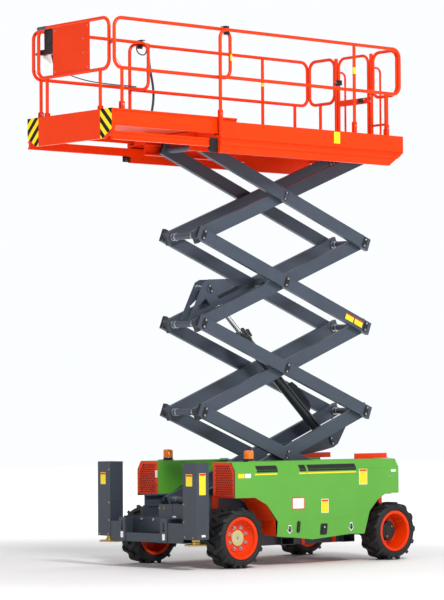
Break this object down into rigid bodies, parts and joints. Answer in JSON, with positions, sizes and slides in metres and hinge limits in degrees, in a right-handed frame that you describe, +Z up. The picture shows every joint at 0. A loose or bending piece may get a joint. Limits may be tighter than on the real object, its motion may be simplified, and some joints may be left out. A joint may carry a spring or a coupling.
{
  "type": "scissor lift",
  "caption": "Rough-terrain electric scissor lift part-way up, with a railed platform and gate, roll-out deck, hinged side covers, steered wheels and levelling jacks.",
  "frame": {"origin": "on the ground, under the middle of the overall length and width", "axes": "+X forwards to the roll-out deck, +Y to the machine's left, +Z up"},
  "size_m": [4.38, 1.746, 5.896],
  "materials": {
    "red paint": "satin powder coat",
    "green paint": "satin powder coat",
    "grey paint": "satin powder coat",
    "dark paint": "satin powder coat",
    "black paint": "satin",
    "black plastic": "moulded",
    "tyre rubber": "moulded rubber",
    "cable rubber": "smooth rubber",
    "chromed steel": "polished",
    "cream paint": "gloss",
    "amber lens": "clear amber",
    "blue plastic": "moulded"
  },
  "bodies": {
    "chassis": {"chassis_frame": "dark paint", "frame_skids": "dark paint", "cross_frames": "dark paint", "fork_pockets": "dark paint", "tray_brackets": "red paint", "scissor_base": "grey paint", "front_axle": "black paint", "rear_axle": "black paint", "module_trays": "red paint", "module_housings": "green paint", "front_grilles": "red paint", "battery_blocks": "black plastic", "beacons": "amber lens", "rear_steps": "red paint", "front_bumper": "dark paint", "jack_boxes": "dark paint", "charge_cable": "cable rubber", "charge_plug": "blue plastic"},
    "knuckle_left": {"knuckle_left": "black paint"},
    "knuckle_right": {"knuckle_right": "black paint"},
    "tie_rod": {"tie_rod": "black paint"},
    "wheel_front_left": {"tyre_front_left": "tyre rubber", "rim_front_left": "red paint", "hub_front_left": "cream paint"},
    "wheel_front_right": {"tyre_front_right": "tyre rubber", "rim_front_right": "red paint", "hub_front_right": "cream paint"},
    "wheel_rear_left": {"tyre_rear_left": "tyre rubber", "rim_rear_left": "red paint", "hub_rear_left": "black paint"},
    "wheel_rear_right": {"tyre_rear_right": "tyre rubber", "rim_rear_right": "red paint", "hub_rear_right": "black paint"},
    "cover_left": {"cover_left": "green paint"},
    "jack_left": {"jack_left": "dark paint"},
    "cover_right": {"cover_right": "green paint"},
    "jack_right": {"jack_right": "dark paint"},
    "outer_arms_1": {"outer_arms_1": "grey paint"},
    "inner_arms_1": {"inner_arms_1": "grey paint"},
    "outer_arms_2": {"outer_arms_2": "grey paint"},
    "inner_arms_2": {"inner_arms_2": "grey paint"},
    "outer_arms_3": {"outer_arms_3": "grey paint"},
    "inner_arms_3": {"inner_arms_3": "grey paint"},
    "outer_arms_4": {"outer_arms_4": "grey paint"},
    "inner_arms_4": {"inner_arms_4": "grey paint"},
    "cylinder_barrel": {"cylinder_barrel": "grey paint"},
    "cylinder_rod": {"cylinder_rod": "chromed steel"},
    "platform": {"deck_main": "red paint", "side_rails": "red paint", "rear_rails": "red paint", "deck_brackets": "black paint", "hose_bundle": "cable rubber", "hose_loop": "cable rubber"},
    "gate": {"gate": "red paint"},
    "deck_extension": {"deck_extension": "red paint", "ext_side_rails": "red paint", "ext_front_rail": "red paint", "control_box": "black plastic", "control_cable": "cable rubber"}
  },
  "joints": [
    {"name": "lift", "type": "hinge", "parent": "chassis", "child": "outer_arms_1", "pos_m": [-1.8887, 0, 0.721], "axis": [0, -1, 0], "range_deg": [-17.1, 38.5]},
    {"name": "centre_pivot_1", "type": "hinge", "parent": "outer_arms_1", "child": "inner_arms_1", "pos_m": [-0.66, 0, 1.20748], "axis": [0, -1, 0], "range_deg": [-77.1, 34.3]},
    {"name": "rear_pivot_2", "type": "hinge", "parent": "inner_arms_1", "child": "outer_arms_2", "pos_m": [-1.8887, 0, 1.69395], "axis": [0, -1, 0], "range_deg": [-34.3, 77.1]},
    {"name": "centre_pivot_2", "type": "hinge", "parent": "outer_arms_2", "child": "inner_arms_2", "pos_m": [-0.66, 0, 2.18043], "axis": [0, -1, 0], "range_deg": [-77.1, 34.3]},
    {"name": "rear_pivot_3", "type": "hinge", "parent": "inner_arms_2", "child": "outer_arms_3", "pos_m": [-1.8887, 0, 2.66691], "axis": [0, -1, 0], "range_deg": [-34.3, 77.1]},
    {"name": "centre_pivot_3", "type": "hinge", "parent": "outer_arms_3", "child": "inner_arms_3", "pos_m": [-0.66, 0, 3.15338], "axis": [0, -1, 0], "range_deg": [-77.1, 34.3]},
    {"name": "rear_pivot_4", "type": "hinge", "parent": "inner_arms_3", "child": "outer_arms_4", "pos_m": [-1.8887, 0, 3.63986], "axis": [0, -1, 0], "range_deg": [-34.3, 77.1]},
    {"name": "centre_pivot_4", "type": "hinge", "parent": "outer_arms_4", "child": "inner_arms_4", "pos_m": [-0.66, 0, 4.12634], "axis": [0, -1, 0], "range_deg": [-77.1, 34.3]},
    {"name": "platform_pivot", "type": "hinge", "parent": "inner_arms_4", "child": "platform", "pos_m": [-1.8887, 0, 4.61281], "axis": [0, -1, 0], "range_deg": [-17.2, 38.6]},
    {"name": "cylinder_eye_pivot", "type": "hinge", "parent": "inner_arms_3", "child": "cylinder_rod", "pos_m": [0.27158, 0, 3.06418], "axis": [0, -1, 0], "range_deg": [-30.2, 67.86]},
    {"name": "cylinder_stroke", "type": "slide", "parent": "cylinder_rod", "child": "cylinder_barrel", "axis": [-0.7315, 0, -0.6818], "range_m": [-0.5004, 1.1242]},
    {"name": "steering_left", "type": "hinge", "parent": "chassis", "child": "knuckle_left", "pos_m": [0.5065, 0.6, 0.328], "axis": [0, 0, 1], "range_deg": [-35, 35]},
    {"name": "steering_right", "type": "hinge", "parent": "chassis", "child": "knuckle_right", "pos_m": [0.5065, -0.6, 0.328], "axis": [0, 0, 1], "range_deg": [-35.1, 35.1]},
    {"name": "tie_rod_slide", "type": "slide", "parent": "chassis", "child": "tie_rod", "axis": [0, 1, 0], "range_m": [-0.0736, 0.0736]},
    {"name": "wheel_spin_front_left", "type": "hinge", "parent": "knuckle_left", "child": "wheel_front_left", "pos_m": [0.5065, 0.723, 0.328], "axis": [0, 1, 0], "continuous": true},
    {"name": "wheel_spin_rear_left", "type": "hinge", "parent": "chassis", "child": "wheel_rear_left", "pos_m": [-1.8265, 0.723, 0.328], "axis": [0, 1, 0], "continuous": true},
    {"name": "wheel_spin_front_right", "type": "hinge", "parent": "knuckle_right", "child": "wheel_front_right", "pos_m": [0.5065, -0.723, 0.328], "axis": [0, 1, 0], "continuous": true},
    {"name": "wheel_spin_rear_right", "type": "hinge", "parent": "chassis", "child": "wheel_rear_right", "pos_m": [-1.8265, -0.723, 0.328], "axis": [0, 1, 0], "continuous": true},
    {"name": "cover_hinge_left", "type": "hinge", "parent": "chassis", "child": "cover_left", "pos_m": [-0.66, 0.764, 1.153], "axis": [1, 0, 0], "range_deg": [0, 90]},
    {"name": "cover_hinge_right", "type": "hinge", "parent": "chassis", "child": "cover_right", "pos_m": [-0.66, -0.764, 1.153], "axis": [-1, 0, 0], "range_deg": [0, 90]},
    {"name": "jack_slide_left", "type": "slide", "parent": "chassis", "child": "jack_left", "axis": [0, 0, -1], "range_m": [0, 0.4]},
    {"name": "jack_slide_right", "type": "slide", "parent": "chassis", "child": "jack_right", "axis": [0, 0, -1], "range_m": [0, 0.4]},
    {"name": "deck_slide", "type": "slide", "parent": "platform", "child": "deck_extension", "axis": [1, 0, 0], "range_m": [-1.31, 0]},
    {"name": "gate_hinge", "type": "hinge", "parent": "platform", "child": "gate", "pos_m": [-2.032, -0.23, 5.3], "axis": [0, 0, -1], "range_deg": [0, 90]}
  ],
  "couplings": [
    {"joint": "centre_pivot_1", "follows": "lift", "ratio": -2},
    {"joint": "rear_pivot_2", "follows": "lift", "ratio": 2},
    {"joint": "centre_pivot_2", "follows": "lift", "ratio": -2},
    {"joint": "rear_pivot_3", "follows": "lift", "ratio": 2},
    {"joint": "centre_pivot_3", "follows": "lift", "ratio": -2},
    {"joint": "rear_pivot_4", "follows": "lift", "ratio": 2},
    {"joint": "centre_pivot_4", "follows": "lift", "ratio": -2},
    {"joint": "platform_pivot", "follows": "lift", "ratio": 1},
    {"joint": "cylinder_eye_pivot", "follows": "lift", "ratio": 1.76},
    {"joint": "cylinder_stroke", "follows": "lift", "m_per_rad": 1.67},
    {"joint": "steering_right", "follows": "steering_left", "ratio": 1},
    {"joint": "tie_rod_slide", "follows": "steering_left", "m_per_rad": -0.12}
  ]
}
